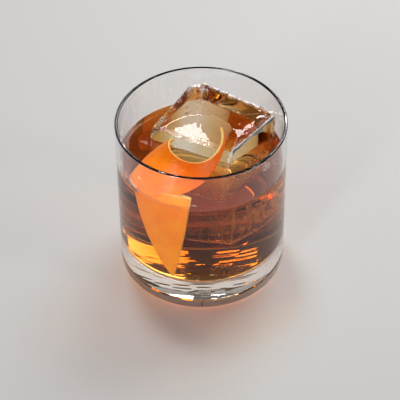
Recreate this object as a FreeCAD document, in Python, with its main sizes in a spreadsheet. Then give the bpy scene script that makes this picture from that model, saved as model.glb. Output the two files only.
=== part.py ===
"""Old fashioned in a straight-sided tumbler, as a parametric document.

Frame: +Z up, origin at the middle of the tumbler's underside, -Y the front. Millimetres.
Nodes: tumbler, drink, ice_block and orange_peel.
"""
import FreeCAD, Part
import math
import os
import Sketcher

Vector = FreeCAD.Vector

SIZES = {
    # tumbler
    "tumbler_diameter": 84.0,
    "tumbler_height": 89.0,
    "wall_thickness": 1.7,
    "lip_share": 0.45,
    "base_thickness": 15.9,
    "heel_radius": 3.0,
    "bore_corner_radius": 6.0,
    "recess_diameter": 60.0,
    "recess_depth": 0.8,
    # drink
    "drink_depth": 50.5,
    "fill_clearance": 0.1,
    # block of ice: a slanting prism with four unequal sides, placed by its front bottom corner
    "ice_front_left": 44.2,
    "ice_front_right": 32.6,
    "ice_back_left": 38.0,
    "ice_front_angle": 110.7,
    "ice_left_angle": 78.2,
    "ice_height": 51.0,
    "ice_slant_side": 5.8,
    "ice_slant_back": 13.3,
    "ice_yaw": -26.3,
    "ice_pitch": -1.3,
    "ice_roll": 12.1,
    "ice_corner_x": 10.4,
    "ice_corner_y": -7.2,
    "ice_sink": 43.5,
    "ice_corner_cut": 5.5,
    "ice_bevel": 1.3,
    "ice_wall_clearance": 0.3,
    "dish_diameter": 43.0,
    "dish_depth": 1.5,
    "dish_along_edge": 17.0,
    "dish_past_edge": 4.0,
    # twist of orange peel: a curl that climbs a spiral, and a blade that hangs in the drink
    "peel_thickness": 2.4,
    "peel_wall_clearance": 0.3,
    "peel_tip_width": 1.2,
    "peel_thinning": 0.4,
    "curl_width": 29.0,
    "curl_taper": 0.5,
    "curl_crown": 48.0,
    "curl_radius": 27.5,
    "curl_tightening": 8.0,
    "tightening_pace": 1.6,
    "tightening_delay": 0.3,
    "curl_azimuth": 50.0,
    "curl_start": 193.0,
    "curl_sweep": 183.0,
    "curl_foot": -2.0,
    "curl_climb": 20.0,
    "climb_power": 1.2,
    "curl_lean": 44.0,
    "curl_twist": 36.0,
    "blade_width": 28.0,
    "blade_top": 5.0,
    "blade_length": 51.0,
    "blade_azimuth": 32.3,
    "blade_drift": 11.0,
    "drift_power": 1.5,
    "point_power": 1.65,
    "blade_inset": 3.0,
    "inset_power": 4.0,
}

CURL_SECTIONS = 13
BLADE_SECTIONS = 9
FILL_LEVEL = "sizes.base_thickness + sizes.drink_depth"


def make_sheet(doc):
    """Keep every driving size in one sheet, each in a cell with an alias."""
    sheet = doc.addObject("Spreadsheet::Sheet", "sizes")
    for row, (name, value) in enumerate(SIZES.items(), start=1):
        sheet.set(f"A{row}", name)
        sheet.set(f"B{row}", str(value))
        sheet.setAlias(f"B{row}", name)
    doc.recompute()
    return sheet


def new_sketch(body, name, role):
    """Attach an empty sketch to one of the body's origin planes."""
    plane = next(item for item in body.Origin.OriginFeatures if item.Role == role)
    sketch = body.newObject("Sketcher::SketchObject", name)
    sketch.AttachmentSupport = [(plane, "")]
    sketch.MapMode = "FlatFace"
    return sketch


def draw_outline(doc, sketch, corners):
    """Draw a closed outline of straight lines, each corner tied to two expressions of the sheet."""
    points = []
    for across, along in corners:
        points.append(Vector(float(sketch.evalExpression(across)), float(sketch.evalExpression(along)), 0))
    count = len(points)
    for index in range(count):
        following = (index + 1) % count
        sketch.addGeometry(Part.LineSegment(points[index], points[following]), False)
    for index in range(count):
        following = (index + 1) % count
        sketch.addConstraint(Sketcher.Constraint("Coincident", index, 2, following, 1))
    for index, (across, along) in enumerate(corners):
        point = points[index]
        for kind, now, expression in (("DistanceX", point.x, across), ("DistanceY", point.y, along)):
            number = sketch.addConstraint(Sketcher.Constraint(kind, -1, 1, index, 1, now))
            sketch.setExpression(f"Constraints[{number}]", expression)
    doc.recompute()


def ring_edges(shape, radius, height):
    """Name the circular edges about the Z axis that have this radius and height."""
    names = []
    for index, edge in enumerate(shape.Edges, start=1):
        curve = edge.Curve
        if isinstance(curve, Part.Circle) and abs(curve.Radius - radius) < 1e-4:
            if abs(curve.Center.z - height) < 1e-4:
                names.append(f"Edge{index}")
    return names


def dress(body, kind, name, base, edges, size_property, expression):
    """Add a fillet or a chamfer whose size is tied to the sheet."""
    feature = body.newObject(kind, name)
    feature.Base = (base, edges)
    feature.setExpression(size_property, expression)
    body.Document.recompute()
    return feature


def turn_outline(doc, name, corners):
    """Make a body and turn an outline a full circle about its Z axis."""
    body = doc.addObject("PartDesign::Body", name)
    sketch = new_sketch(body, f"{name}_outline", "XZ_Plane")
    draw_outline(doc, sketch, corners)
    turned = body.newObject("PartDesign::Revolution", f"{name}_turned")
    turned.Profile = sketch
    turned.ReferenceAxis = (sketch, ["V_Axis"])
    turned.Angle = 360.0
    doc.recompute()
    return body, turned


def make_tumbler(doc, sheet):
    """Turn the wall and the heavy base, then round the bore's corner, the heel and the lip."""
    outer = "sizes.tumbler_diameter / 2"
    bore = "sizes.tumbler_diameter / 2 - sizes.wall_thickness"
    body, turned = turn_outline(doc, "tumbler", [
        ("0", "sizes.recess_depth"),
        ("sizes.recess_diameter / 2", "sizes.recess_depth"),
        ("sizes.recess_diameter / 2 + sizes.recess_depth", "0"),
        (outer, "0"),
        (outer, "sizes.tumbler_height"),
        (bore, "sizes.tumbler_height"),
        (bore, "sizes.base_thickness"),
        ("0", "sizes.base_thickness"),
    ])
    outer_radius = sheet.tumbler_diameter / 2
    bore_radius = outer_radius - sheet.wall_thickness
    corner = ring_edges(turned.Shape, bore_radius, sheet.base_thickness)
    rounded = dress(body, "PartDesign::Fillet", "bore_corner", turned, corner,
                    "Radius", "sizes.bore_corner_radius")
    heel_edge = ring_edges(rounded.Shape, outer_radius, 0.0)
    heel = dress(body, "PartDesign::Fillet", "heel", rounded, heel_edge,
                 "Radius", "sizes.heel_radius")
    lip_edges = ring_edges(heel.Shape, outer_radius, sheet.tumbler_height)
    lip_edges += ring_edges(heel.Shape, bore_radius, sheet.tumbler_height)
    dress(body, "PartDesign::Fillet", "lip", heel, lip_edges,
          "Radius", "sizes.wall_thickness * sizes.lip_share")
    return body


def make_ice_prism(doc, sheet):
    """Pad the four-sided plan, cut the back corner off and bevel every edge."""
    body = doc.addObject("PartDesign::Body", "ice_prism")
    sketch = new_sketch(body, "ice_plan", "XY_Plane")
    back_x = "cos(sizes.ice_left_angle * 1 deg) * sizes.ice_back_left - sizes.ice_front_left"
    back_y = "sin(sizes.ice_left_angle * 1 deg) * sizes.ice_back_left"
    draw_outline(doc, sketch, [
        ("0", "0"),
        ("-cos(sizes.ice_front_angle * 1 deg) * sizes.ice_front_right",
         "sin(sizes.ice_front_angle * 1 deg) * sizes.ice_front_right"),
        (back_x, back_y),
        ("-sizes.ice_front_left", "0"),
    ])
    pad = body.newObject("PartDesign::Pad", "ice_pad")
    pad.Profile = sketch
    pad.UseCustomVector = True
    pad.AlongSketchNormal = True
    pad.setExpression("Direction.x", "tan(sizes.ice_slant_side * 1 deg)")
    pad.setExpression("Direction.y", "tan(sizes.ice_slant_back * 1 deg)")
    pad.setExpression("Direction.z", "1")
    pad.setExpression("Length", "sizes.ice_height")
    doc.recompute()
    middle = Vector(float(body.evalExpression(back_x)), float(body.evalExpression(back_y)), 0)
    middle += Vector(math.tan(math.radians(sheet.ice_slant_side)),
                     math.tan(math.radians(sheet.ice_slant_back)), 1) * (sheet.ice_height / 2)
    back_edge = [f"Edge{index}" for index, edge in enumerate(pad.Shape.Edges, start=1)
                 if (edge.CenterOfMass - middle).Length < 0.01]
    cut = dress(body, "PartDesign::Chamfer", "ice_back_corner", pad, back_edge,
                "Size", "sizes.ice_corner_cut")
    every_edge = [f"Edge{index}" for index in range(1, len(cut.Shape.Edges) + 1)]
    dress(body, "PartDesign::Chamfer", "ice_bevels", cut, every_edge,
          "Size", "sizes.ice_bevel")
    body.setExpression("Placement", (
        f"placement(vector(sizes.ice_corner_x; sizes.ice_corner_y; {FILL_LEVEL} - sizes.ice_sink); "
        "rotation(sizes.ice_yaw; sizes.ice_pitch; sizes.ice_roll))"))
    return body


def combine(doc, kind, name, base, tool):
    """Join two objects by a boolean operation of this kind."""
    result = doc.addObject(kind, name)
    result.Base = base
    result.Tool = tool
    return result


def make_ice_block(doc, prism, peel):
    """Melt a shallow dish into the prism's top, keep it inside the bore and clear of the peel."""
    ball = doc.addObject("Part::Sphere", "dish_ball")
    ball_radius = "((sizes.dish_diameter / 2) ^ 2 + sizes.dish_depth ^ 2) / (2 * sizes.dish_depth)"
    ball.setExpression("Radius", ball_radius)
    ball.setExpression("Placement", (
        "ice_prism.Placement * placement(vector("
        "tan(sizes.ice_slant_side * 1 deg) * sizes.ice_height - sizes.dish_along_edge; "
        "tan(sizes.ice_slant_back * 1 deg) * sizes.ice_height - sizes.dish_past_edge; "
        f"sizes.ice_height - sizes.dish_depth + {ball_radius}); rotation(0; 0; 0))"))
    dished = combine(doc, "Part::Cut", "ice_dished", prism, ball)
    room = doc.addObject("Part::Cylinder", "ice_room")
    room.setExpression("Radius", (
        "sizes.tumbler_diameter / 2 - sizes.wall_thickness - sizes.ice_wall_clearance"))
    room.setExpression("Height", "sizes.tumbler_height + sizes.ice_height")
    room.setExpression("Placement.Base.z", "sizes.base_thickness + sizes.ice_wall_clearance")
    fitted = combine(doc, "Part::Common", "ice_fitted", dished, room)
    return combine(doc, "Part::Cut", "ice_block", fitted, peel)


def peel_section(middle, across, outward, width, thickness, crown):
    """Close one section of the peel: bowed zest, bowed pith and two cut edges."""
    half = width / 2
    bow = crown - math.sqrt(crown ** 2 - half ** 2)
    lift = outward * (thickness / 2)
    crest = middle + outward * (bow / 2)
    low = middle - outward * (bow / 2) - across * half
    high = middle - outward * (bow / 2) + across * half
    zest = Part.Arc(low + lift, crest + lift, high + lift).toShape()
    upper = Part.LineSegment(high + lift, high - lift).toShape()
    pith = Part.Arc(high - lift, crest - lift, low - lift).toShape()
    lower = Part.LineSegment(low - lift, low + lift).toShape()
    return Part.Wire([zest, upper, pith, lower])


def smooth_step(share):
    """Rise smoothly from 0 to 1 as share goes from 0 to 1."""
    held = min(max(share, 0.0), 1.0)
    return held * held * (3.0 - 2.0 * held)


def curl_sections(sheet):
    """Follow the curl up its tightening spiral, from its broad foot on the wall to its tip."""
    wall = sheet.tumbler_diameter / 2 - sheet.wall_thickness - sheet.peel_wall_clearance
    reach = wall - sheet.peel_thickness / 2 - sheet.curl_radius
    azimuth = math.radians(sheet.curl_azimuth)
    hub = Vector(-math.sin(azimuth), -math.cos(azimuth), 0) * reach
    wires = []
    for index in range(CURL_SECTIONS):
        share = index / (CURL_SECTIONS - 1)
        angle = math.radians(sheet.curl_start + sheet.curl_sweep * share)
        lean = math.radians(sheet.curl_lean + sheet.curl_twist * share)
        tightened = smooth_step(sheet.tightening_pace * share - sheet.tightening_delay)
        radius = sheet.curl_radius - sheet.curl_tightening * tightened
        width = sheet.curl_width * math.exp(-(share / sheet.curl_taper) ** 2) + sheet.peel_tip_width
        ray = Vector(math.cos(angle), math.sin(angle), 0)
        climb = Vector(0, 0, sheet.curl_foot + sheet.curl_climb * share ** sheet.climb_power)
        across = Vector(0, 0, math.sin(lean)) - ray * math.cos(lean)
        outward = Vector(0, 0, math.cos(lean)) + ray * math.sin(lean)
        middle = hub + ray * radius + climb + across * (width / 2)
        thickness = sheet.peel_thickness * (1.0 - sheet.peel_thinning * share)
        wires.append(peel_section(middle, across, outward, width, thickness, sheet.curl_crown))
    return wires


def bore_reach(sheet, height):
    """Radius that the peel can reach in the bore at a height, less where its corner is rounded."""
    corner = sheet.bore_corner_radius
    dip = max(corner - (height - sheet.base_thickness), 0.0)
    narrowing = corner - math.sqrt(corner ** 2 - min(dip, corner) ** 2)
    bore = sheet.tumbler_diameter / 2 - sheet.wall_thickness
    return bore - sheet.peel_wall_clearance - narrowing


def blade_sections(sheet):
    """Follow the blade down the bore's wall, from behind the curl to its point."""
    level = sheet.base_thickness + sheet.drink_depth
    wires = []
    for index in range(BLADE_SECTIONS):
        share = index / (BLADE_SECTIONS - 1)
        azimuth = math.radians(sheet.blade_azimuth - sheet.blade_drift * share ** sheet.drift_power)
        width = sheet.blade_width * (1.0 - share ** sheet.point_power) + sheet.peel_tip_width
        thickness = sheet.peel_thickness * (1.0 - sheet.peel_thinning * share)
        outward = Vector(-math.sin(azimuth), -math.cos(azimuth), 0)
        across = Vector(-math.cos(azimuth), math.sin(azimuth), 0)
        height = sheet.blade_top - sheet.blade_length * share
        wall = bore_reach(sheet, level + height)
        bow = wall - math.sqrt(wall ** 2 - (width / 2) ** 2)
        inset = sheet.blade_inset * (1.0 - share) ** sheet.inset_power
        middle = outward * (wall - thickness / 2 - bow / 2 - inset) + Vector(0, 0, height)
        wires.append(peel_section(middle, across, outward, width, thickness, wall))
    return wires


def make_peel(doc, sheet):
    """Loft the curl and the blade of the twist and join them into one piece."""
    curl = Part.makeLoft(curl_sections(sheet), True, False)
    blade = Part.makeLoft(blade_sections(sheet), True, False)
    peel = doc.addObject("Part::Feature", "orange_peel")
    peel.Shape = curl.fuse(blade)
    peel.setExpression("Placement.Base.z", FILL_LEVEL)
    doc.recompute()
    return peel


def make_drink(doc, sheet, ice, peel):
    """Fill the bore up to the level and cut the drink round the ice and the peel."""
    side = "sizes.tumbler_diameter / 2 - sizes.wall_thickness - sizes.fill_clearance"
    floor = "sizes.base_thickness + sizes.fill_clearance"
    body, turned = turn_outline(doc, "drink_fill", [
        ("0", floor),
        (side, floor),
        (side, FILL_LEVEL),
        ("0", FILL_LEVEL),
    ])
    side_radius = sheet.tumbler_diameter / 2 - sheet.wall_thickness - sheet.fill_clearance
    corner = ring_edges(turned.Shape, side_radius, sheet.base_thickness + sheet.fill_clearance)
    dress(body, "PartDesign::Fillet", "drink_corner", turned, corner,
          "Radius", "sizes.bore_corner_radius - sizes.fill_clearance")
    around_ice = combine(doc, "Part::Cut", "drink_round_ice", body, ice)
    return combine(doc, "Part::Cut", "drink", around_ice, peel)


def check_document(doc, pieces):
    """Stop if an object failed to build or a piece has no valid solid."""
    for item in doc.Objects:
        if "Invalid" in item.State or "Error" in item.State:
            raise RuntimeError(f"{item.Name} failed: {item.State}")
    for piece in pieces:
        if piece.Shape.isNull() or not piece.Shape.isValid() or not piece.Shape.Solids:
            raise RuntimeError(f"{piece.Name} has no valid solid")


def main():
    """Build the document and write each piece to parts/."""
    doc = FreeCAD.newDocument("old_fashioned")
    sheet = make_sheet(doc)
    tumbler = make_tumbler(doc, sheet)
    peel = make_peel(doc, sheet)
    ice = make_ice_block(doc, make_ice_prism(doc, sheet), peel)
    drink = make_drink(doc, sheet, ice, peel)
    doc.recompute()
    pieces = [tumbler, drink, ice, peel]
    check_document(doc, pieces)
    os.makedirs("parts", exist_ok=True)
    for piece in pieces:
        piece.Label = piece.Name
        piece.Shape.exportStep(f"parts/{piece.Label}.step")
        solids = len(piece.Shape.Solids)
        print(f"{piece.Label}: {solids} solid(s), {piece.Shape.Volume / 1000:.1f} cm3")


main()
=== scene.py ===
"""Looks of a rum old fashioned: a straight-sided tumbler, its drink, a block of ice and an orange twist.

Frame: +Z up, origin at the middle of the tumbler's underside, -Y the front. The sizes below are in
millimetres, and every mesh is written in metres with its place in its points.
"""
import logging
import math
from dataclasses import dataclass, replace
from enum import Enum

import bmesh
import bpy
import numpy as np
from mathutils import Matrix, Vector

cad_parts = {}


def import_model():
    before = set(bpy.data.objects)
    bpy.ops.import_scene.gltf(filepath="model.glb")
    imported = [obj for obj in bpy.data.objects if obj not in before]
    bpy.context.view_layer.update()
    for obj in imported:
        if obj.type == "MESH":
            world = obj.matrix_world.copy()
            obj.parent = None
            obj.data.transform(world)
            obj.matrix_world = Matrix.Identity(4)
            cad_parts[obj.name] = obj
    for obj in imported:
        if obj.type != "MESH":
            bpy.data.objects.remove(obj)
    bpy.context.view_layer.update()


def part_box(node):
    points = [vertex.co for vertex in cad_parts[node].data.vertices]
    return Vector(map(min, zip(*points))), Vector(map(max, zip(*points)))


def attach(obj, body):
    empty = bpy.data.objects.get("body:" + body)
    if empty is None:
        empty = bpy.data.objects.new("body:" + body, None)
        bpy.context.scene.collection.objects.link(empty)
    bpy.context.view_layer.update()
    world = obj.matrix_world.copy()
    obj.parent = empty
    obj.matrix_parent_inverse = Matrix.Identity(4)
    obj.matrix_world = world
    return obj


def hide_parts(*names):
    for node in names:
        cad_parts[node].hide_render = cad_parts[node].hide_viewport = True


Array = np.ndarray
Material = bpy.types.Material
Pair = tuple[float, float]
Triple = tuple[float, float, float]
LOG = logging.getLogger("old_fashioned")
MM = 0.001
FULL_TURN = 2.0 * math.pi
GLASS_IOR, DRINK_IOR, ICE_IOR = 1.53, 1.335, 1.265
BARE_IOR = 1.002            # of a surface that bounds a piece where another surface does the bending
MERGE_DISTANCE = 2e-6       # metres within which the points of seams and poles are one
SHORTEST_EDGE = 1e-7        # metres under which an edge is taken out
TINY = 1e-12
HASH_AXES = (73856093, 19349663, 83492791)
HASH_SEED, HASH_MIX = 2654435761, 1274126177


class Slot(Enum):
    """Names of the record's material slots."""

    GLASS = "clear_glass"
    DRINK = "amber_drink"
    ICE = "clear_ice"
    ZEST = "orange_zest"


# ---------------------------------------------------------------- shapes


def arc(centre: Pair, radius: float, start: float, end: float, count: int) -> Array:
    """Points of an arc: centre plus radius times (cos, sin) of an angle that runs evenly.

    Args:
        centre: middle of the arc, in a profile's plane.
        radius: radius of the arc.
        start: first angle in degrees.
        end: last angle in degrees.
        count: number of points, both ends included.

    Returns:
        An array of count rows and two columns.
    """
    turn = np.radians(np.linspace(start, end, count))
    return np.stack([centre[0] + radius * np.cos(turn), centre[1] + radius * np.sin(turn)], axis=1)


def straight(first: Pair, last: Pair, count: int) -> Array:
    """Points evenly spaced on a straight run between two points of a profile.

    Args:
        first: where the run starts.
        last: where the run ends.
        count: number of points, both ends included.

    Returns:
        An array of count rows and two columns.
    """
    share = np.linspace(0.0, 1.0, count)[:, None]
    return np.asarray(first) * (1.0 - share) + np.asarray(last) * share


def revolve(profile: Array, turn: Array) -> Array:
    """Carry a profile (radius, height) round the Z axis: x = r cos a, y = r sin a, z = h.

    Args:
        profile: rows of radius and height.
        turn: the angles in radians, one for each column.

    Returns:
        A grid of points, profile rows by angles.
    """
    radius, height = profile[:, :1], profile[:, 1:]
    return np.stack([radius * np.cos(turn), radius * np.sin(turn),
                     np.broadcast_to(height, (len(profile), len(turn)))], axis=2)


def cell_noise(points: Array, cell: float, seed: int) -> Array:
    """Smooth noise between -1 and 1: hashed values on the corners of cubic cells, blended smoothly.

    Args:
        points: an array whose last axis is x, y, z.
        cell: side of a cell, in the unit of the points.
        seed: picks another set of random values.

    Returns:
        One value for each point.
    """
    place = points / cell
    low = np.floor(place).astype(np.int64)
    blend = place - low
    blend = blend * blend * (3.0 - 2.0 * blend)
    total = np.zeros(points.shape[:-1])
    for corner in np.ndindex(2, 2, 2):
        key = (low + np.array(corner)) @ np.array(HASH_AXES) + seed * HASH_SEED
        key = (key ^ (key >> 13)) * HASH_MIX
        value = ((key ^ (key >> 16)) & 0xFFFF) / 32767.5 - 1.0
        total += value * np.prod(np.where(np.array(corner) == 1, blend, 1.0 - blend), axis=-1)
    return total


def layered_noise(points: Array, layers: tuple[tuple[float, float, int], ...]) -> Array:
    """Sum of noises, each height * cell_noise(cell, seed).

    Args:
        points: an array whose last axis is x, y, z.
        layers: height, cell and seed of each noise.

    Returns:
        One value for each point.
    """
    return sum(height * cell_noise(points, cell, seed) for height, cell, seed in layers)


def smooth_step(share: Array) -> Array:
    """Rise smoothly from 0 to 1 as share goes from 0 to 1."""
    held = np.clip(share, 0.0, 1.0)
    return held * held * (3.0 - 2.0 * held)


def grid_normals(points: Array) -> Array:
    """Unit normals of a grid whose columns close round: cross product of its two directions.

    Args:
        points: a grid of points, rows by columns.

    Returns:
        One unit vector for each point.
    """
    along = np.gradient(points, axis=0)
    round_ = np.roll(points, -1, axis=1) - np.roll(points, 1, axis=1)
    normal = np.cross(round_, along)
    return normal / np.maximum(np.linalg.norm(normal, axis=2, keepdims=True), TINY)


def shell(points: Array, normals: Array, lift: float) -> Array:
    """Closed thin shell about a patch: out along the normals over it and back under it.

    Args:
        points: the patch, rows by columns.
        normals: its unit normals.
        lift: how far the shell stands above and below the patch.

    Returns:
        A grid closed round its columns, whose first and last rows have no thickness.
    """
    over, under = points + normals * lift, points - normals * lift
    grid = np.concatenate([over, under[:, ::-1]], axis=1)
    flat = np.concatenate([points, points[:, ::-1]], axis=1)
    return np.concatenate([flat[:1], grid, flat[-1:]])


def grid_faces(rows: int, columns: int, first: int) -> Array:
    """Quads between the neighbouring points of a grid whose columns close round.

    Args:
        rows: number of rows.
        columns: number of columns.
        first: index of the grid's first point in the mesh.

    Returns:
        An array of four indices for each quad.
    """
    index = first + np.arange(rows * columns).reshape(rows, columns)
    after = np.roll(index, -1, axis=1)
    quads = np.stack([index[:-1], after[:-1], after[1:], index[1:]], axis=2)
    return quads.reshape(-1, 4)


def make_piece(name: str, grids: list[Array], finishes: list[Material],
               marks: dict[str, list[Array]] | None = None,
               zones: Array | None = None) -> bpy.types.Object:
    """Make one closed piece from grids of points, merge its seams and poles and turn its faces out.

    Args:
        name: name of the object and of its mesh.
        grids: grids of points in millimetres, each closed round its columns.
        finishes: the materials.
        marks: values kept on the points, by name, each one array for each grid.
        zones: number of the material of each quad, in the grids' order.

    Returns:
        The new object, riding on the body.
    """
    faces, first = [], 0
    for grid in grids:
        faces.append(grid_faces(grid.shape[0], grid.shape[1], first))
        first += grid.shape[0] * grid.shape[1]
    points = np.concatenate([grid.reshape(-1, 3) for grid in grids]) * MM
    mesh = bpy.data.meshes.new(name)
    mesh.from_pydata(points.tolist(), [], np.concatenate(faces).tolist())
    for finish in finishes:
        mesh.materials.append(finish)
    if zones is not None:
        mesh.polygons.foreach_set("material_index", zones.reshape(-1).astype(np.int32))
    for mark, values in (marks or {}).items():
        layer = mesh.attributes.new(mark, "FLOAT", "POINT")
        layer.data.foreach_set("value", np.concatenate([v.reshape(-1) for v in values]).astype(np.float32))
    work = bmesh.new()
    work.from_mesh(mesh)
    bmesh.ops.remove_doubles(work, verts=work.verts, dist=MERGE_DISTANCE)
    bmesh.ops.dissolve_degenerate(work, edges=work.edges, dist=SHORTEST_EDGE)
    bmesh.ops.recalc_face_normals(work, faces=work.faces)
    work.to_mesh(mesh)
    work.free()
    mesh.polygons.foreach_set("use_smooth", np.ones(len(mesh.polygons), dtype=bool))
    piece = bpy.data.objects.new(name, mesh)
    bpy.context.scene.collection.objects.link(piece)
    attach(piece, "root")
    LOG.info("%s: %d faces", name, len(mesh.polygons))
    return piece


# ---------------------------------------------------------------- finishes


class Nodes:
    """A material's node tree, with short ways to add and join its nodes."""

    def __init__(self, name: str) -> None:
        """Start an empty material.

        Args:
            name: the material's name.
        """
        self.material = bpy.data.materials.new(name)
        self.material.use_nodes = True
        self.tree = self.material.node_tree
        self.tree.nodes.clear()
        self.output = self.tree.nodes.new("ShaderNodeOutputMaterial")

    def add(self, kind: str, **values: object) -> bpy.types.Node:
        """Add a node, set its settings and set or link its inputs.

        Args:
            kind: the node's type, without ShaderNode.
            values: settings by their own name, and inputs by name with _ for a space. An input
                that is given an output is linked to it.

        Returns:
            The new node.
        """
        node = self.tree.nodes.new("ShaderNode" + kind)
        for key, value in values.items():
            label = key.replace("_", " ")
            if hasattr(node, key):
                setattr(node, key, value)
            elif isinstance(value, bpy.types.NodeSocket):
                self.join(value, node.inputs[label])
            else:
                node.inputs[label].default_value = value
        return node

    def join(self, source: bpy.types.NodeSocket, target: bpy.types.NodeSocket) -> None:
        """Link an output to an input."""
        self.tree.links.new(source, target)

    def reckon(self, operation: str, *sources: bpy.types.NodeSocket) -> bpy.types.NodeSocket:
        """Join outputs by a sum or a product.

        Args:
            operation: the Math node's operation.
            sources: the outputs to join.

        Returns:
            The output that holds the result.
        """
        node = self.add("Math", operation=operation)
        for source, target in zip(sources, node.inputs):
            self.join(source, target)
        return node.outputs["Value"]

    def finish(self, shader: bpy.types.NodeSocket) -> Material:
        """Link the shader to the output and give the finished material."""
        self.join(shader, self.output.inputs["Surface"])
        return self.material


MOTTLE_INPUTS = (("Scale", 60.0), ("Detail", 2.0), ("Low", 0.0), ("High", 1.0))
MOTTLE_SPAN = (0.3, 0.7)    # the noise values that become the lowest and the highest one


def mottle_group() -> bpy.types.NodeTree:
    """Shader group that gives a value wandering between two limits over the surface.

    Returns:
        The group, made once and then shared.
    """
    group = bpy.data.node_groups.get("mottle")
    if group:
        return group
    group = bpy.data.node_groups.new("mottle", "ShaderNodeTree")
    for label, value in MOTTLE_INPUTS:
        socket = group.interface.new_socket(label, in_out="INPUT", socket_type="NodeSocketFloat")
        socket.default_value = value
    group.interface.new_socket("Value", in_out="OUTPUT", socket_type="NodeSocketFloat")
    entry = group.nodes.new("NodeGroupInput")
    leave = group.nodes.new("NodeGroupOutput")
    place = group.nodes.new("ShaderNodeTexCoord")
    noise = group.nodes.new("ShaderNodeTexNoise")
    limits = group.nodes.new("ShaderNodeMapRange")
    limits.inputs["From Min"].default_value, limits.inputs["From Max"].default_value = MOTTLE_SPAN
    group.links.new(place.outputs["Object"], noise.inputs["Vector"])
    group.links.new(entry.outputs["Scale"], noise.inputs["Scale"])
    group.links.new(entry.outputs["Detail"], noise.inputs["Detail"])
    group.links.new(noise.outputs["Fac"], limits.inputs["Value"])
    group.links.new(entry.outputs["Low"], limits.inputs["To Min"])
    group.links.new(entry.outputs["High"], limits.inputs["To Max"])
    group.links.new(limits.outputs["Result"], leave.inputs["Value"])
    return group


def add_mottle(nodes: Nodes, scale: float, detail: float, low: float, high: float) -> bpy.types.NodeSocket:
    """Place the mottle group in a material.

    Args:
        nodes: the material's nodes.
        scale: cells for each metre.
        detail: octaves of finer noise.
        low: lowest value.
        high: highest value.

    Returns:
        The group's output.
    """
    node = nodes.add("Group", node_tree=mottle_group(), Scale=scale, Detail=detail, Low=low, High=high)
    return node.outputs["Value"]


@dataclass(frozen=True)
class ClearFinish:
    """A clear material: a refracting surface, a faint wandering polish and, in a liquid, its colour.

    Light on its way to a lamp goes straight through it, tinted by the shadow colour.
    """

    name: str
    ior: float
    color: Triple = (1.0, 1.0, 1.0)
    shadow: Triple = (0.92, 0.92, 0.92)
    rough_low: float = 0.0
    rough_high: float = 0.02
    rough_scale: float = 60.0
    rough_detail: float = 2.0
    bump_scale: float = 90.0
    bump_detail: float = 1.0
    bump_height: float = 0.00002
    frost: str = ""
    frost_scale: float = 900.0
    frost_detail: float = 3.0
    frost_rough: float = 0.75
    absorb_color: Triple = (1.0, 1.0, 1.0)
    absorb_density: float = 0.0

    def make(self) -> Material:
        """Build the material.

        Returns:
            The new material.
        """
        nodes = Nodes(self.name)
        rough = add_mottle(nodes, self.rough_scale, self.rough_detail, self.rough_low, self.rough_high)
        if self.frost:
            mark = nodes.add("Attribute", attribute_name=self.frost)
            grain = add_mottle(nodes, self.frost_scale, self.frost_detail, 0.0, self.frost_rough)
            rough = nodes.reckon("MULTIPLY_ADD", mark.outputs["Fac"], grain, rough)
        height = add_mottle(nodes, self.bump_scale, self.bump_detail, 0.0, 1.0)
        bump = nodes.add("Bump", Strength=1.0, Distance=self.bump_height, Height=height)
        surface = nodes.add("BsdfPrincipled", Base_Color=(*self.color, 1.0), IOR=self.ior,
                            Transmission_Weight=1.0, Roughness=rough, Normal=bump.outputs["Normal"])
        path = nodes.add("LightPath")
        veil = nodes.add("BsdfTransparent", Color=(*self.shadow, 1.0))
        mix = nodes.add("MixShader", Fac=path.outputs["Is Shadow Ray"])
        nodes.join(surface.outputs["BSDF"], mix.inputs[1])
        nodes.join(veil.outputs["BSDF"], mix.inputs[2])
        if self.absorb_density:
            colour = nodes.add("VolumeAbsorption", Color=(*self.absorb_color, 1.0),
                               Density=self.absorb_density)
            nodes.join(colour.outputs["Volume"], nodes.output.inputs["Volume"])
        return nodes.finish(mix.outputs["Shader"])


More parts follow.
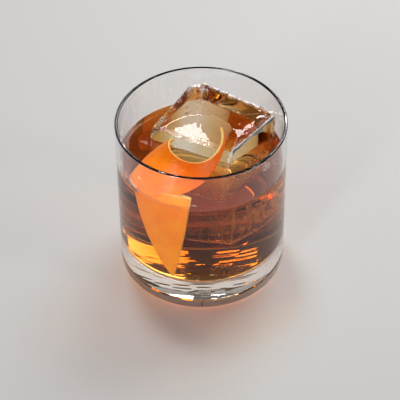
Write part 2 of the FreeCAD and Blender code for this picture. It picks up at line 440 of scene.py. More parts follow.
@dataclass(frozen=True)
class FrostFinish:
    """White rime of crushed and scratched ice.

    It covers where the noise and the "cover" value on the points add up to more than one.
    """

    name: str
    color: Triple = (0.97, 0.97, 0.97)
    dimmed: float = 0.86
    stretch: Triple = (1.0, 1.0, 1.0)
    scale: float = 700.0
    noise_span: Pair = (0.33, 0.67)
    sharpness: float = 3.0
    densest: float = 1.0
    roughness: float = 0.45
    ior: float = 1.31
    scatter: float = 0.7
    scatter_length: float = 0.003
    scatter_radius: Triple = (1.0, 1.0, 1.0)
    grain_height: float = 0.0003

    def make(self) -> Material:
        """Build the material.

        Returns:
            The new material.
        """
        nodes = Nodes(self.name)
        place = nodes.add("TexCoord")
        scaled = nodes.add("Mapping", Vector=place.outputs["Object"], Scale=self.stretch)
        noise = nodes.add("TexNoise", Vector=scaled.outputs["Vector"], Scale=self.scale, Detail=3.0,
                          Roughness=0.6)
        low, high = self.noise_span
        spread = nodes.add("MapRange", Value=noise.outputs["Fac"], From_Min=low, From_Max=high)
        mark = nodes.add("Attribute", attribute_name="cover")
        total = nodes.reckon("ADD", spread.outputs["Result"], mark.outputs["Fac"])
        cover = nodes.add("MapRange", Value=total, From_Min=1.0, From_Max=1.0 + 1.0 / self.sharpness,
                          To_Max=self.densest)
        dim = (share * self.dimmed for share in self.color)
        shade = nodes.add("Mix", data_type="RGBA", Factor=noise.outputs["Fac"], A=(*dim, 1.0),
                          B=(*self.color, 1.0))
        bump = nodes.add("Bump", Strength=0.6, Distance=self.grain_height, Height=noise.outputs["Fac"])
        surface = nodes.add("BsdfPrincipled", Base_Color=shade.outputs["Result"],
                            Alpha=cover.outputs["Result"], Roughness=self.roughness, IOR=self.ior,
                            Subsurface_Weight=self.scatter, Subsurface_Scale=self.scatter_length,
                            Subsurface_Radius=self.scatter_radius, Normal=bump.outputs["Normal"])
        return nodes.finish(surface.outputs["BSDF"])


@dataclass(frozen=True)
class ZestFinish:
    """Orange peel: oily pored zest outside, creamy pith inside and on the cut edges.

    The zest's tone goes from deep to bright with a value on the points, which is painted shading (painted
    shade towards the curl's tip, painted light down the blade), and with a mottle of random tone.
    """

    name: str = "orange_zest"
    # deep and bright are the ends of the painted shading; the mottle of random tone also blends between
    # them
    deep: Triple = (0.87, 0.09, 0.0)
    bright: Triple = (1.0, 0.32, 0.0)
    pith: Triple = (0.93, 0.60, 0.18)
    mottle_scale: float = 90.0
    mottle_reach: float = 0.2
    pore_scale: float = 900.0
    pore_span: Pair = (0.05, 0.45)
    pore_tint: float = 0.35
    pore_shade: float = 0.55
    pore_depth: float = 0.00025
    zest_rough: float = 0.34
    pith_rough: float = 0.7
    scatter: float = 0.12
    scatter_length: float = 0.002
    scatter_radius: Triple = (1.0, 0.4, 0.1)

    def make(self) -> Material:
        """Build the material.

        Returns:
            The new material.
        """
        nodes = Nodes(self.name)
        # painted shading from the points: painted shade along the curl, painted light down the blade
        painted_shading = nodes.add("Attribute", attribute_name="painted_shading")
        mottle = add_mottle(nodes, self.mottle_scale, 4.0, -self.mottle_reach, self.mottle_reach)
        blend = nodes.reckon("ADD", painted_shading.outputs["Fac"], mottle)
        tone = nodes.add("Mix", data_type="RGBA", Factor=blend, A=(*self.deep, 1.0),
                         B=(*self.bright, 1.0))
        place = nodes.add("TexCoord")
        pores = nodes.add("TexVoronoi", Vector=place.outputs["Object"], Scale=self.pore_scale)
        low, high = self.pore_span
        pit = nodes.add("MapRange", Value=pores.outputs["Distance"], From_Min=low, From_Max=high)
        shade = nodes.add("MapRange", Value=pit.outputs["Result"], To_Min=self.pore_shade, To_Max=1.0)
        spotted = nodes.add("Mix", data_type="RGBA", blend_type="MULTIPLY", Factor=self.pore_tint,
                            A=tone.outputs["Result"], B=shade.outputs["Result"])
        mark = nodes.add("Attribute", attribute_name="pith")
        whole = nodes.add("Mix", data_type="RGBA", Factor=mark.outputs["Fac"],
                          A=spotted.outputs["Result"], B=(*self.pith, 1.0))
        rough = nodes.add("MapRange", Value=mark.outputs["Fac"], To_Min=self.zest_rough,
                          To_Max=self.pith_rough)
        bump = nodes.add("Bump", Strength=0.5, Distance=self.pore_depth, Height=pit.outputs["Result"])
        surface = nodes.add("BsdfPrincipled", Base_Color=whole.outputs["Result"],
                            Roughness=rough.outputs["Result"], Normal=bump.outputs["Normal"],
                            Subsurface_Weight=self.scatter, Subsurface_Scale=self.scatter_length,
                            Subsurface_Radius=self.scatter_radius, Specular_IOR_Level=0.25)
        return nodes.finish(surface.outputs["BSDF"])


@dataclass(frozen=True)
class FloorFinish:
    """Plain pale floor."""

    name: str = "pale_floor"
    color: Triple = (0.60, 0.59, 0.578)
    roughness: float = 0.6

    def make(self) -> Material:
        """Build the material.

        Returns:
            The new material.
        """
        nodes = Nodes(self.name)
        surface = nodes.add("BsdfPrincipled", Base_Color=(*self.color, 1.0), Roughness=self.roughness)
        return nodes.finish(surface.outputs["BSDF"])


# ---------------------------------------------------------------- the pieces


@dataclass
class Tumbler:
    """Straight-sided tumbler with a thin wall and a heavy base."""

    radius: float = 42.0
    height: float = 89.0
    wall: float = 1.7
    floor: float = 15.9
    heel: float = 3.0
    corner: float = 6.0
    recess_radius: float = 30.0
    recess_depth: float = 0.8
    lip_share: float = 0.45
    wet_height: float = 67.3
    unevenness: tuple[tuple[float, float, int], ...] = ((0.10, 14.0, 3), (0.05, 6.0, 4))
    uneven_depth: float = 1.5
    uneven_margin: float = 3.0
    ripple: float = 0.10
    ripple_cell: float = 2.1
    ripple_stretch: float = 0.3
    ripple_reach: float = 19.0
    segments: int = 256

    @property
    def bore(self) -> float:
        """Radius of the inside."""
        return self.radius - self.wall

    def profile(self) -> Array:
        """Profile from the middle of the underside, up the outside and down into the bore.

        Returns:
            Rows of radius and height, in millimetres.
        """
        lip = self.wall * self.lip_share
        top = self.height - lip
        heel_x = self.radius - self.heel
        corner_x = self.bore - self.corner
        corner_z = self.floor + self.corner
        foot = self.recess_radius + self.recess_depth
        return np.concatenate([
            straight((0.0, self.recess_depth), (self.recess_radius, self.recess_depth), 64),
            straight((foot, 0.0), (heel_x, 0.0), 8),
            arc((heel_x, self.heel), self.heel, -90.0, 0.0, 12),
            straight((self.radius, self.heel + 1.0), (self.radius, top - 0.5), 56),
            arc((self.radius - lip, top), lip, 0.0, 90.0, 7),
            arc((self.bore + lip, top), lip, 90.0, 180.0, 7),
            straight((self.bore, top - 0.5), (self.bore, self.wet_height), 16),
            straight((self.bore, self.wet_height - 1.0), (self.bore, corner_z + 1.0), 36),
            arc((corner_x, corner_z), self.corner, 0.0, -90.0, 16),
            straight((corner_x - 1.0, self.floor), (0.0, self.floor), 28),
        ])

    def build(self, dry: Material, wet: Material) -> bpy.types.Object:
        """Turn the profile, with the faint unevenness of pressed glass on its floor and underside.

        Args:
            dry: the glass where air touches it.
            wet: the glass where the drink touches it.

        Returns:
            The tumbler.
        """
        turn = np.linspace(0.0, FULL_TURN, self.segments, endpoint=False)
        points = revolve(self.profile(), turn)
        away = np.hypot(points[..., 0], points[..., 1])
        near_floor = np.exp(-((points[..., 2] - self.floor) / self.uneven_depth) ** 2)
        inside = away < self.bore - self.uneven_margin
        points[..., 2] += layered_noise(points, self.unevenness) * near_floor * inside
        drawn = points * np.array([self.ripple_stretch, 1.0, 1.0])
        ripple = cell_noise(drawn, self.ripple_cell, 5) * self.ripple
        ripple *= np.exp(-(away / self.ripple_reach) ** 2)
        recess = np.abs(points[..., 2] - self.recess_depth) < self.recess_depth / 16.0
        points[..., 2] += ripple * recess * inside
        middle = (points[:-1] + points[1:]) / 2.0
        inner = np.hypot(middle[..., 0], middle[..., 1]) < self.bore + 0.01
        wetted = inner & (middle[..., 2] < self.wet_height) & (middle[..., 2] > self.floor - 0.5)
        piece = make_piece("tumbler_glass", [points], [dry, wet], zones=wetted)
        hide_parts("tumbler")
        return piece


@dataclass(frozen=True)
class EdgeFrost:
    """Frost along the edges of the block's top or bottom."""

    name: str
    reach: int
    strengths: tuple[float, float, float, float, float]


@dataclass
class IceBlock:
    """Slanting block of clear ice, with a melted dish in its top and chipped edges."""

    front_left: float = 44.2
    front_right: float = 32.6
    back_left: float = 38.0
    front_angle: float = 110.7
    left_angle: float = 78.2
    height: float = 51.0
    slant_side: float = 5.8
    slant_back: float = 13.3
    yaw: float = -26.3
    pitch: float = -1.3
    roll: float = 12.1
    place: Triple = (10.4, -7.2, 22.9)
    corner_cut: float = 5.5
    rounding: float = 1.0
    dish_radius: float = 21.5
    dish_depth: float = 1.5
    dish_along: float = 17.0
    dish_past: float = 4.0
    spacing: float = 0.55
    cap_rows: int = 39
    edge_rows: int = 7
    side_rows: int = 90
    cap_breadth: float = 20.0
    wandering: tuple[tuple[float, float, int], ...] = ((0.14, 13.0, 13), (0.05, 5.0, 14))
    top_wandering: float = 0.4
    worn: Pair = (2.0, 1.2)
    chipped: Pair = (0.75, 0.35)
    top_frost: EdgeFrost = EdgeFrost("ice_frost_top", 14, (2.10, 1.00, 0.95, 0.50, 0.12))
    bottom_frost: EdgeFrost = EdgeFrost("ice_frost_bottom", 10, (0.95, 0.30, 0.20, 0.30, 0.85))
    edge_frost_width: float = 1.8
    front_frost_width: float = 2.2
    front_frost: float = 0.95
    veil: float = 0.62
    veil_reach: float = 20.0
    crackle: float = 0.74
    frost_lift: float = 0.05

    def corners(self) -> Array:
        """Corners of the plan, counter-clockwise from the front one, with the back one cut off.

        Returns:
            Five rows of x and y, before the block is turned.
        """
        front, left = math.radians(self.front_angle), math.radians(self.left_angle)
        right_end = np.array([-math.cos(front), math.sin(front)]) * self.front_right
        back = np.array([math.cos(left), math.sin(left)]) * self.back_left - (self.front_left, 0.0)
        left_end = np.array([-self.front_left, 0.0])
        to_right = (right_end - back) / np.linalg.norm(right_end - back)
        to_left = (left_end - back) / np.linalg.norm(left_end - back)
        return np.array([(0.0, 0.0), right_end, back + to_right * self.corner_cut,
                         back + to_left * self.corner_cut, left_end])

    def outline(self) -> tuple[Array, Array, Array, Array]:
        """Plan as an inner outline and unit normals, so that a point is core plus normal times offset.

        Returns:
            The core points, the normals, the distance of each column to the nearest corner and the
            number of the side that each column is on.
        """
        corners = self.corners()
        count = len(corners)
        following = np.roll(corners, -1, axis=0)
        along = (following - corners) / np.linalg.norm(following - corners, axis=1, keepdims=True)
        normal = np.stack([along[:, 1], -along[:, 0]], axis=1)
        core = np.empty_like(corners)
        for index in range(count):
            before = normal[index - 1]
            mix = (before + normal[index]) / (1.0 + before @ normal[index])
            core[index] = corners[index] - mix * self.rounding
        points, normals, near, side = [], [], [], []
        for index in range(count):
            first = math.atan2(normal[index - 1][1], normal[index - 1][0])
            swing = (math.atan2(normal[index][1], normal[index][0]) - first) % FULL_TURN
            turn = first + swing * np.linspace(0.0, 1.0, self.edge_rows)
            points.append(np.repeat(core[index][None], self.edge_rows, axis=0))
            normals.append(np.stack([np.cos(turn), np.sin(turn)], axis=1))
            near.append(np.zeros(self.edge_rows))
            side.append(np.full(self.edge_rows, index))
            end = core[(index + 1) % count]
            length = np.linalg.norm(end - core[index])
            steps = max(int(length / self.spacing), 4)
            share = np.arange(1, steps)[:, None] / steps
            points.append(core[index] * (1.0 - share) + end * share)
            normals.append(np.repeat(normal[index][None], steps - 1, axis=0))
            near.append(length * np.minimum(share[:, 0], 1.0 - share[:, 0]))
            side.append(np.full(steps - 1, index))
        return (np.concatenate(points), np.concatenate(normals), np.concatenate(near),
                np.concatenate(side))

    def to_world(self, points: Array) -> Array:
        """Lean the upright points along the prism's slant, then turn and place the block.

        Args:
            points: an array whose last axis is x, y, z, of the upright block.

        Returns:
            The points in the frame, in millimetres.
        """
        lean = np.array([math.tan(math.radians(self.slant_side)),
                         math.tan(math.radians(self.slant_back)), 0.0])
        slanted = points + points[..., 2:] * lean
        turned = (Matrix.Rotation(math.radians(self.yaw), 3, "Z")
                  @ Matrix.Rotation(math.radians(self.pitch), 3, "Y")
                  @ Matrix.Rotation(math.radians(self.roll), 3, "X"))
        return slanted @ np.array(turned).T + np.array(self.place)

    def rows(self) -> tuple[Array, Array, Array]:
        """Rows of the grid, from the middle of the bottom, up the sides, to the middle of the top.

        Returns:
            Each row's share of the core's breadth, its offset along the normals and its height.
        """
        radius, height, none = self.rounding, self.height, np.zeros(self.cap_rows)
        share = np.linspace(0.0, 1.0, self.cap_rows + 1)
        quarter = np.radians(np.linspace(0.0, 90.0, self.edge_rows))
        rise = np.linspace(radius, height - radius, self.side_rows + 2)[1:-1]
        spread = np.concatenate([share[:-1], np.ones(2 * self.edge_rows + self.side_rows),
                                 share[::-1][1:]])
        offset = np.concatenate([none, radius * np.sin(quarter), np.full(self.side_rows, radius),
                                 radius * np.cos(quarter), none])
        level = np.concatenate([none, radius - radius * np.cos(quarter), rise,
                                height - radius + radius * np.sin(quarter), none + height])
        return spread, offset, level

    def wear(self, points: Array, spread: Array, level: Array, near: Array) -> tuple[Array, Array]:
        """How far the faces wander and the edges are chipped: wander - depth * worn * chips.

        Worn is exp(-(distance to the nearest edge / width)^2), and chips is noise held above zero.

        Args:
            points: the upright block's grid.
            spread: each row's share of the core's breadth.
            level: each row's height.
            near: distance of each column to the nearest corner.

        Returns:
            The push along the normal and the frost at each point.
        """
        from_edge = np.where(spread < 1.0, (1.0 - spread) * self.cap_breadth,
                             np.minimum(np.abs(level - self.rounding),
                                        np.abs(self.height - self.rounding - level)))[:, None]
        upper = level[:, None] > self.height / 2
        edge_gap = np.where(spread[:, None] < 1.0, from_edge, np.minimum(from_edge, near[None, :]))
        worn = np.exp(-(edge_gap / np.where(upper, *self.worn)) ** 2)
        chips = np.clip(cell_noise(points, 2.6, 11) + 0.15, 0.0, 1.0)
        chips += 0.5 * np.clip(cell_noise(points, 1.1, 12), 0.0, 1.0)
        wander = layered_noise(points, self.wandering)
        on_top = level[:, None] > self.height - self.rounding / 2.0
        wander *= np.where(on_top, self.top_wandering, 1.0)
        push = wander - worn * chips * np.where(upper, *self.chipped)
        return push, worn * np.clip(0.35 + chips, 0.0, 1.0)

    def surface(self) -> tuple[Array, Array, slice]:
        """The whole block as one grid, from the middle of its bottom to the middle of its top.

        A column is a line up the prism. A point is core + normal * offset, where the offset follows
        a quarter circle at the top and bottom edges, and the caps shrink the core towards its middle.
        Wear moves the points along the normal. The top sinks as a ball's surface where the dish is.

        Returns:
            The grid in place, the frost on each point and the rows of the sides.
        """
        core, normal, near, _ = self.outline()
        spread, offset, level = self.rows()
        middle = core.mean(axis=0)
        plan = middle + (core - middle) * spread[:, None, None] + normal * offset[:, None, None]
        points = np.concatenate([plan, np.broadcast_to(level[:, None, None],
                                                       (*plan.shape[:2], 1))], axis=2)
        push, frost = self.wear(points, spread, level, near)
        outward = grid_normals(points)
        outward[0], outward[-1] = (0.0, 0.0, -1.0), (0.0, 0.0, 1.0)
        points = points + outward * push[..., None]
        centre = np.array([-self.dish_along, -self.dish_past])
        reach = (self.dish_radius ** 2 + self.dish_depth ** 2) / (2.0 * self.dish_depth)
        gap = np.linalg.norm(points[..., :2] - centre, axis=2)
        ball = self.height - self.dish_depth + gap ** 2 / (2.0 * reach)
        upper = level[:, None] > self.height / 2
        points[..., 2] = np.minimum(points[..., 2], np.where(upper, ball, self.height))
        sides = slice(self.cap_rows, self.cap_rows + self.edge_rows + self.side_rows)
        return self.to_world(points), frost, sides

    def build(self, dry: Material, wet: Material,
              wet_height: float) -> bpy.types.Object:
        """Make the block.

        Args:
            dry: the ice where air touches it.
            wet: the ice where the drink touches it.
            wet_height: height up to which the drink touches it.

        Returns:
            The block.
        """
        points, frost, _ = self.surface()
        middle = (points[:-1] + points[1:]) / 2.0
        piece = make_piece("clear_ice_block", [points], [dry, wet], {"frost": [frost]},
                           middle[..., 2] < wet_height)
        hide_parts("ice_block")
        return piece

    def build_frost(self, rime: Material, streaks: Material,
                    crackle: Material) -> None:
        """Lay the white frost on the block's edges and its crazed front faces.

        Each is a thin closed shell about a band of the block's own surface. Along an edge the cover
        is strength * exp(-(distance / width)^2), where noise makes the width uneven.

        Args:
            rime: frost of the top's and the bottom's edges.
            streaks: upright streaks of the front edge and the left front face.
            crackle: frost of the crazed right front face.
        """
        points, _, sides = self.surface()
        normals = grid_normals(points)
        _, _, near, side = self.outline()
        around = np.append(np.arange(len(side)), 0)
        uneven = 1.0 + 0.75 * cell_noise(points, 2.3, 21)
        for frost, edge in ((self.top_frost, sides.stop), (self.bottom_frost, sides.start)):
            rows = np.arange(edge - frost.reach // 2, edge + frost.reach)
            span = np.abs(rows - edge)[:, None] * self.spacing / uneven[rows][:, around]
            cover = np.exp(-(span / self.edge_frost_width) ** 2)
            cover = cover * np.array(frost.strengths)[side[around]]
            self.add_shell(frost.name, points[rows][:, around], normals[rows][:, around], cover, rime)
        rows = np.arange(sides.start + 4, sides.stop + 2)
        up = np.linspace(0.0, 1.0, len(rows))[:, None]
        # The front corner lies where the columns close, so its two sides are the last and the first.
        turned = np.arange(len(side)) / len(side)
        left = np.flatnonzero((side == 4) & (near < self.veil_reach) & (turned > 0.85))
        right = np.flatnonzero((side == 0) & (near < 5.0) & (turned < 0.15))
        front = np.concatenate([left, right])
        gap = np.abs(np.arange(len(front)) - len(left))[None] * self.spacing
        veil = self.veil * (np.arange(len(front)) < len(left))[None] * (1.0 - smooth_step(up * 2.2 - 0.5))
        cover = np.maximum(self.front_frost * np.exp(-(gap / self.front_frost_width) ** 2),
                           veil * (1.0 - smooth_step(gap / self.veil_reach)))
        self.add_shell("ice_frost_front", points[rows][:, front], normals[rows][:, front], cover, streaks)
        face = np.flatnonzero((side == 0) & (near > 0.5))
        along = np.linspace(0.0, 1.0, len(face))
        # The crazing is densest low on the face and fades out by two thirds of its height.
        cover = self.crackle * smooth_step(up * 6.0) * (1.0 - smooth_step(up * 3.0 - 1.0))
        cover = cover * smooth_step(along * 4.0 + 0.3)
        self.add_shell("ice_frost_face", points[rows][:, face], normals[rows][:, face], cover, crackle)

    def add_shell(self, name: str, points: Array, normals: Array, cover: Array,
                  finish: Material) -> None:
        """Make one thin shell of frost.

        Args:
            name: name of the piece.
            points: the patch that it lies on.
            normals: the patch's normals.
            cover: how much frost each point has.
            finish: the frost.
        """
        grid = shell(points, normals, self.frost_lift)
        marks = np.concatenate([cover, cover[:, ::-1]], axis=1)
        marks = np.concatenate([marks[:1], marks, marks[-1:]])
        make_piece(name, [grid], [finish], {"cover": [marks]})


@dataclass
class OrangePeel:
    """Twist of orange peel: a curl climbing a tightening spiral, and a blade hanging in the drink."""

    level: float = 66.4
    wall: float = 40.0
    corner: float = 6.0
    corner_top: float = 21.9
    thickness: float = 2.4
    thinning: float = 0.4
    tip_width: float = 1.2
    curl_width: float = 29.0
    curl_taper: float = 0.5
    curl_crown: float = 48.0
    curl_radius: float = 27.5
    curl_tightening: float = 8.0
    curl_azimuth: float = 50.0
    curl_start: float = 193.0
    curl_sweep: float = 183.0
    curl_foot: float = -2.0
    curl_climb: float = 20.0
    curl_lean: float = 44.0
    curl_twist: float = 36.0
    blade_width: float = 28.0
    blade_top: float = 5.0
    blade_length: float = 51.0
    blade_azimuth: float = 32.3
    blade_drift: float = 11.0
    blade_inset: float = 3.0
    loop_points: int = 120
    edge_power: float = 0.25
    climb_power: float = 1.2
    drift_power: float = 1.5
    point_power: float = 1.65
    curl_rows: int = 150
    blade_rows: int = 120
    pith_start: float = 0.36
    pith_blend: float = 0.14
    # Painted shading along each strip, first row to last: the curl darkens into painted shade towards its
    # tip, the blade lightens with painted light towards its point.
    curl_painted_shading: Triple = (0.60, 0.32, 0.05)
    blade_painted_shading: Triple = (0.66, 0.82, 1.0)

    def section(self, middle: Array, across: Array, outward: Array, width: Array, thickness: Array,
                crown: float) -> tuple[Array, Array]:
        """Sections of the peel: a bowed strip with rounded cut edges, one for each row.

        The loop is a squared oval |s|^8 + |l|^8 = 1, with s across and l through the strip. A point
        lies at middle + across * s * width / 2, lifted by the bow (1 - s^2) - 1/2 of the crown's
        rise and by l * thickness / 2. The zest is the outer part of the oval, the rest is pith.

        Args:
            middle: centres, one for each row.
            across: unit vectors from the low edge to the high one.
            outward: unit vectors out of the zest.
            width: widths.
            thickness: thicknesses.
            crown: radius of the bow across the strip.

        Returns:
            The grid of points and how much each is pith.
        """
        half = width / 2.0
        bow = crown - np.sqrt(np.maximum(crown ** 2 - half ** 2, 0.0))
        turn = np.linspace(0.0, FULL_TURN, self.loop_points, endpoint=False)
        shares = np.sign(np.cos(turn)) * np.abs(np.cos(turn)) ** self.edge_power
        lifts = np.sign(np.sin(turn)) * np.abs(np.sin(turn)) ** self.edge_power * 0.5
        pith = smooth_step((self.pith_start - lifts) / self.pith_blend)
        bowed = bow[:, None] * (1.0 - shares ** 2) - bow[:, None] / 2.0
        points = (middle[:, None] + across[:, None] * (half[:, None] * shares)[..., None]
                  + outward[:, None] * (bowed + thickness[:, None] * lifts)[..., None])
        points[..., 2] += self.level
        return points, np.broadcast_to(pith, points.shape[:2])

    def curl(self) -> tuple[Array, Array]:
        """The curl, whose lower edge follows a spiral: hub + ray * radius + climb.

        Returns:
            The grid of points and how much each is pith.
        """
        share = np.linspace(0.0, 1.0, self.curl_rows)
        azimuth = math.radians(self.curl_azimuth)
        hub = np.array([-math.sin(azimuth), -math.cos(azimuth), 0.0])
        hub = hub * (self.wall - self.thickness / 2.0 - self.curl_radius)
        angle = np.radians(self.curl_start + self.curl_sweep * share)
        lean = np.radians(self.curl_lean + self.curl_twist * share)[:, None]
        radius = self.curl_radius - self.curl_tightening * smooth_step(1.6 * share - 0.3)
        width = self.curl_width * np.exp(-(share / self.curl_taper) ** 2) + self.tip_width
        ray = np.stack([np.cos(angle), np.sin(angle), np.zeros_like(angle)], axis=1)
        up = np.array([0.0, 0.0, 1.0])
        across = up * np.sin(lean) - ray * np.cos(lean)
        outward = up * np.cos(lean) + ray * np.sin(lean)
        middle = hub + ray * radius[:, None] + across * width[:, None] / 2.0
        middle[:, 2] += self.curl_foot + self.curl_climb * share ** self.climb_power
        return self.section(middle, across, outward, width,
                            self.thickness * (1.0 - self.thinning * share), self.curl_crown)

    def blade(self) -> tuple[Array, Array]:
        """The blade, which hangs along the bore and narrows to a point.

        Returns:
            The grid of points and how much each is pith.
        """
        share = np.linspace(0.0, 1.0, self.blade_rows)
        azimuth = np.radians(self.blade_azimuth - self.blade_drift * share ** self.drift_power)
        width = self.blade_width * (1.0 - share ** self.point_power) + self.tip_width
        thickness = self.thickness * (1.0 - self.thinning * share)
        zero = np.zeros_like(share)
        outward = np.stack([-np.sin(azimuth), -np.cos(azimuth), zero], axis=1)
        across = np.stack([-np.cos(azimuth), np.sin(azimuth), zero], axis=1)
        height = self.blade_top - self.blade_length * share
        dip = np.clip(self.corner_top - self.level - height, 0.0, self.corner)
        wall = self.wall - self.corner + np.sqrt(self.corner ** 2 - dip ** 2)
        bow = wall - np.sqrt(wall ** 2 - (width / 2.0) ** 2)
        inset = self.blade_inset * (1.0 - share) ** 4
        middle = outward * (wall - thickness / 2.0 - bow / 2.0 - inset)[:, None]
        middle[:, 2] = height
        return self.section(middle, across, outward, width, thickness, self.wall)

    @staticmethod
    def capped(points: Array, pith: Array) -> tuple[Array, Array]:
        """Close both ends of a strip with a row at the middle of its first and last section.

        Args:
            points: the strip's grid of points.
            pith: how much each point is pith.

        Returns:
            The grid of points and the pith with one more row at each end.
        """
        first = np.broadcast_to(points[0].mean(axis=0), points[0].shape)[None]
        last = np.broadcast_to(points[-1].mean(axis=0), points[-1].shape)[None]
        ones = np.ones_like(pith[:1])
        return np.concatenate([first, points, last]), np.concatenate([ones, pith, ones])

    def build(self, finish: Material) -> list[bpy.types.Object]:
        """Make the curl and the blade.

        Args:
            finish: the peel's zest and pith.

        Returns:
            The two pieces.
        """
        pieces = []
        for name, strip, tones in (("peel_curl", self.curl(), self.curl_painted_shading),
                                   ("peel_blade", self.blade(), self.blade_painted_shading)):
            points, pith = self.capped(*strip)
            share = np.linspace(0.0, 1.0, len(points))
            # painted shading along the strip, from its first row to its last
            painted_shading = np.broadcast_to(np.interp(share, (0.0, 0.4, 1.0), tones)[:, None], pith.shape)
            pieces.append(make_piece(name, [points], [finish],
                                     {"pith": [pith], "painted_shading": [painted_shading]}))
            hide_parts("orange_peel")
        return pieces


@dataclass
class Drink:
    """The drink: it fills the bore up to its level and closes round the ice."""

    level: float = 66.4
    reach: float = 0.12
    creep: float = 0.9
    creep_length: float = 1.6
    skin: float = 0.03
    peel_band: float = 0.8
    surface_rows: int = 60
    bank_rows: int = 42

    def meniscus(self, points: Array, walls: list[Array]) -> Array:
        """Height that the drink creeps up: creep * (1 - product of (1 - exp(-distance / length))).

        Args:
            points: the points of the free surface.
            walls: distances of those points to each thing that the drink wets.

        Returns:
            The height above the level at each point.
        """
        dry = np.ones(points.shape[:2])
        for distance in walls:
            dry = dry * (1.0 - np.exp(-distance / self.creep_length))
        return self.creep * (1.0 - dry)

    def cavity(self, ice: IceBlock) -> tuple[Array, Array]:
        """Find the surface where the drink meets the ice, a little inside the block.

        Args:
            ice: the block.

        Returns:
            The grid up to the waterline, which its last rows repeat, and the waterline.
        """
        block, _, sides = ice.surface()
        rows = (block - grid_normals(block) * self.reach)[: sides.stop]
        contact = self.level + self.creep
        over = rows[..., 2] > contact
        over[: len(rows) // 3] = False
        upper = np.argmax(over, axis=0)
        column = np.arange(rows.shape[1])
        above, below = rows[upper, column], rows[upper - 1, column]
        share = (contact - below[:, 2]) / (above[:, 2] - below[:, 2])
        waterline = below + (above - below) * share[:, None]
        return np.where((np.arange(len(rows))[:, None] >= upper)[..., None], waterline, rows), waterline

    def free_surface(self, waterline: Array, tumbler: Tumbler, peel: OrangePeel) -> Array:
        """Lay out the free surface, whose columns run straight out from the ice to the bore.

        Args:
            waterline: where the surface meets the ice.
            tumbler: the tumbler that holds it.
            peel: the peel that it creeps up.

        Returns:
            The grid, from the waterline to the shore a little inside the wall.
        """
        centre = waterline[:, :2].mean(axis=0)
        ray = waterline[:, :2] - centre
        ray = ray / np.linalg.norm(ray, axis=1, keepdims=True)
        along = ray @ centre
        far = -along + np.sqrt(along ** 2 - centre @ centre + (tumbler.bore + self.reach) ** 2)
        shore = centre + ray * far[:, None]
        run = 0.5 - 0.5 * np.cos(np.pi * np.linspace(0.0, 1.0, self.surface_rows))
        flat = waterline[None, :, :2] * (1.0 - run)[:, None, None] + shore[None] * run[:, None, None]
        width = np.linalg.norm(shore - waterline[:, :2], axis=1)
        to_wall = tumbler.bore - np.minimum(np.hypot(flat[..., 0], flat[..., 1]), tumbler.bore)
        strip = np.concatenate([peel.curl()[0].reshape(-1, 3), peel.blade()[0].reshape(-1, 3)])
        strip = strip[np.abs(strip[:, 2] - self.level) < self.peel_band][:, :2]
        to_peel = np.array([np.sqrt(((line[:, None] - strip) ** 2).sum(axis=2)).min(axis=1)
                            for line in flat])
        creep = self.meniscus(flat, [width * run[:, None], to_wall, to_peel])
        return np.concatenate([flat, (self.level + creep)[..., None]], axis=2)

    def bank(self, shore: Array, tumbler: Tumbler) -> Array:
        """Lay out the surface on the bore: straight down, round the corner and in to the middle.

        Args:
            shore: the free surface's last row.
            tumbler: the tumbler that holds the drink.

        Returns:
            The grid, from below the shore to the middle of the floor.
        """
        corner = tumbler.corner + self.reach
        corner_x = tumbler.bore + self.reach - corner
        corner_z = tumbler.floor - self.reach + corner
        profile = np.concatenate([arc((corner_x, corner_z), corner, 0.0, -90.0, 14),
                                  straight((corner_x - 1.0, corner_z - corner),
                                           (0.0, corner_z - corner), 24)])
        drop = np.linspace(1.0, 0.0, self.bank_rows + 2)[1:-1, None]
        upright = np.stack([np.broadcast_to(shore[:, 0], (self.bank_rows, len(shore))),
                            np.broadcast_to(shore[:, 1], (self.bank_rows, len(shore))),
                            corner_z + (shore[:, 2] - corner_z) * drop], axis=2)
        return np.concatenate([upright, revolve(profile, np.arctan2(shore[:, 1], shore[:, 0]))])

    def build(self, tumbler: Tumbler, ice: IceBlock, peel: OrangePeel,
              finishes: list[Material]) -> bpy.types.Object:
        """Make the drink: one closed surface that bends the light, and one just within that colours it.

        Args:
            tumbler: the tumbler that holds it.
            ice: the block that it closes round.
            peel: the peel that it creeps up.
            finishes: the drink where it meets air, glass and ice, and the colour of its depth.

        Returns:
            The drink.
        """
        air, glass, block, depth = range(4)
        cavity, waterline = self.cavity(ice)
        surface = self.free_surface(waterline, tumbler, peel)
        whole = np.concatenate([cavity, surface[1:], self.bank(surface[-1], tumbler)])
        zones = np.full((len(whole) - 1, whole.shape[1]), glass)
        zones[: len(cavity) - 1] = block
        zones[len(cavity) - 1: len(cavity) + len(surface) - 2] = air
        kept = np.unique(np.append(np.arange(0, len(whole), 2), len(whole) - 1))
        within = (whole - grid_normals(whole) * self.skin)[kept][:, ::2]
        deep = np.full((len(within) - 1) * within.shape[1], depth)
        piece = make_piece("amber_drink", [whole, within], finishes,
                           zones=np.concatenate([zones.reshape(-1), deep]))
        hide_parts("drink")
        return piece


# ---------------------------------------------------------------- the studio


@dataclass(frozen=True)
class Lamp:
    """Soft rectangular lamp: its middle and its sides in metres, and its power in watts."""

    name: str
    place: Triple
    size: Pair
    power: float


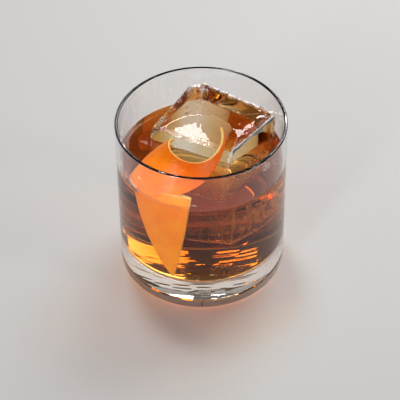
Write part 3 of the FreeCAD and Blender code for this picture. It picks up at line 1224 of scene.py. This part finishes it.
@dataclass
class Studio:
    """Pale floor, soft lamps and the camera. Places are in metres."""

    camera_place: Triple = (-0.00093, -0.6117, 0.6121)
    elevation: float = 43.28
    roll: float = -0.634
    lens: float = 149.54
    sensor: float = 36.0
    half_floor: float = 6.0
    aim: Triple = (0.0, 0.0, 0.05)
    sky_color: Triple = (0.93, 0.95, 1.0)
    sky_strength: float = 0.14
    bounces: int = 32
    lamps: tuple[Lamp, ...] = (
        Lamp("back", (0.384, 0.650, 0.72), (0.63, 0.46), 5.7),
        Lamp("high", (-0.21, 0.62, 0.75), (0.30, 0.10), 0.6),
        Lamp("glint", (-0.13, 0.37, 0.92), (0.16, 0.16), 2.8),
        Lamp("front_left", (-0.62, -0.98, 0.42), (0.16, 0.80), 6.0),
        Lamp("front_right", (1.05, -0.50, 0.40), (0.12, 0.80), 3.2))

    def add_floor(self) -> None:
        """Lay the floor under the tumbler."""
        mesh = bpy.data.meshes.new("floor")
        half = self.half_floor
        mesh.from_pydata([(-half, -half, 0.0), (half, -half, 0.0), (half, half, 0.0),
                          (-half, half, 0.0)], [], [(0, 1, 2, 3)])
        mesh.materials.append(FloorFinish().make())
        floor = bpy.data.objects.new("floor", mesh)
        bpy.context.scene.collection.objects.link(floor)

    def add_lamp(self, lamp: Lamp) -> None:
        """Hang a lamp so that it faces the glass.

        Args:
            lamp: the lamp.
        """
        light = bpy.data.lights.new(lamp.name, "AREA")
        light.shape = "RECTANGLE"
        light.size, light.size_y = lamp.size
        light.energy = lamp.power
        hung = bpy.data.objects.new(lamp.name, light)
        hung.location = lamp.place
        hung.rotation_euler = (Vector(self.aim) - Vector(lamp.place)).to_track_quat("-Z", "Y").to_euler()
        bpy.context.scene.collection.objects.link(hung)

    def add_world(self) -> None:
        """Fill the studio with soft pale light."""
        world = bpy.data.worlds.new("studio")
        bpy.context.scene.world = world
        world.use_nodes = True
        sky = world.node_tree.nodes["Background"]
        sky.inputs["Color"].default_value = (*self.sky_color, 1.0)
        sky.inputs["Strength"].default_value = self.sky_strength

    def add_camera(self) -> None:
        """Set the camera, looking down at the glass from the front."""
        data = bpy.data.cameras.new("camera")
        data.lens = self.lens
        data.sensor_width = self.sensor
        camera = bpy.data.objects.new("camera", data)
        tilt = Matrix.Rotation(math.radians(90.0 - self.elevation), 4, "X")
        roll = Matrix.Rotation(math.radians(self.roll), 4, "Z")
        camera.matrix_world = Matrix.Translation(self.camera_place) @ tilt @ roll
        bpy.context.scene.collection.objects.link(camera)
        bpy.context.scene.camera = camera

    def build(self) -> None:
        """Set the whole studio up."""
        self.add_floor()
        self.add_world()
        self.add_camera()
        for lamp in self.lamps:
            self.add_lamp(lamp)
        scene = bpy.context.scene
        scene.view_settings.view_transform = "Standard"
        scene.cycles.max_bounces = self.bounces
        scene.cycles.transmission_bounces = self.bounces
        scene.cycles.transparent_max_bounces = self.bounces


def main() -> None:
    """Load the frame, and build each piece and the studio."""
    logging.basicConfig(level=logging.INFO, format="%(message)s")
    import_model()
    glass = ClearFinish("clear_glass", ior=GLASS_IOR, rough_high=0.012, bump_height=0.000004)
    glass_wet = replace(glass, name="clear_glass_wet", ior=GLASS_IOR / DRINK_IOR)
    cold = ClearFinish("clear_ice", ior=ICE_IOR, rough_high=0.02, bump_scale=140.0,
                       bump_height=0.00003, frost="frost")
    cold_wet = replace(cold, name="clear_ice_wet", ior=BARE_IOR)
    liquid = ClearFinish("amber_drink", ior=DRINK_IOR, bump_height=0.000004)
    liquid_glass = replace(liquid, name="amber_drink_at_glass", ior=BARE_IOR)
    liquid_ice = replace(liquid, name="amber_drink_at_ice", ior=DRINK_IOR / ICE_IOR)
    depth = replace(liquid, name="amber_depth", ior=BARE_IOR, shadow=(1.0, 0.99, 0.97),
                    absorb_color=(0.845, 0.60, 0.06), absorb_density=128.0)
    _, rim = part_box("tumbler")
    _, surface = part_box("drink")
    level = surface[2] / MM
    drink = Drink(level=level)
    tumbler = Tumbler(radius=rim[0] / MM, height=rim[2] / MM, wet_height=level + drink.creep)
    ice, peel = IceBlock(), OrangePeel(level=level)
    tumbler.build(glass.make(), glass_wet.make())
    ice.build(cold.make(), cold_wet.make(), tumbler.wet_height)
    ice.build_frost(FrostFinish("ice_rime").make(),
                    FrostFinish("ice_streaks", stretch=(1.0, 1.0, 0.10), sharpness=1.5,
                                densest=0.55).make(),
                    FrostFinish("ice_crackle", stretch=(1.0, 1.0, 0.5), scale=480.0,
                                densest=0.9).make())
    peel.build(ZestFinish().make())
    drink.build(tumbler, ice, peel, [liquid.make(), liquid_glass.make(), liquid_ice.make(),
                                     depth.make()])
    Studio().build()


if __name__ == "__main__":
    main()
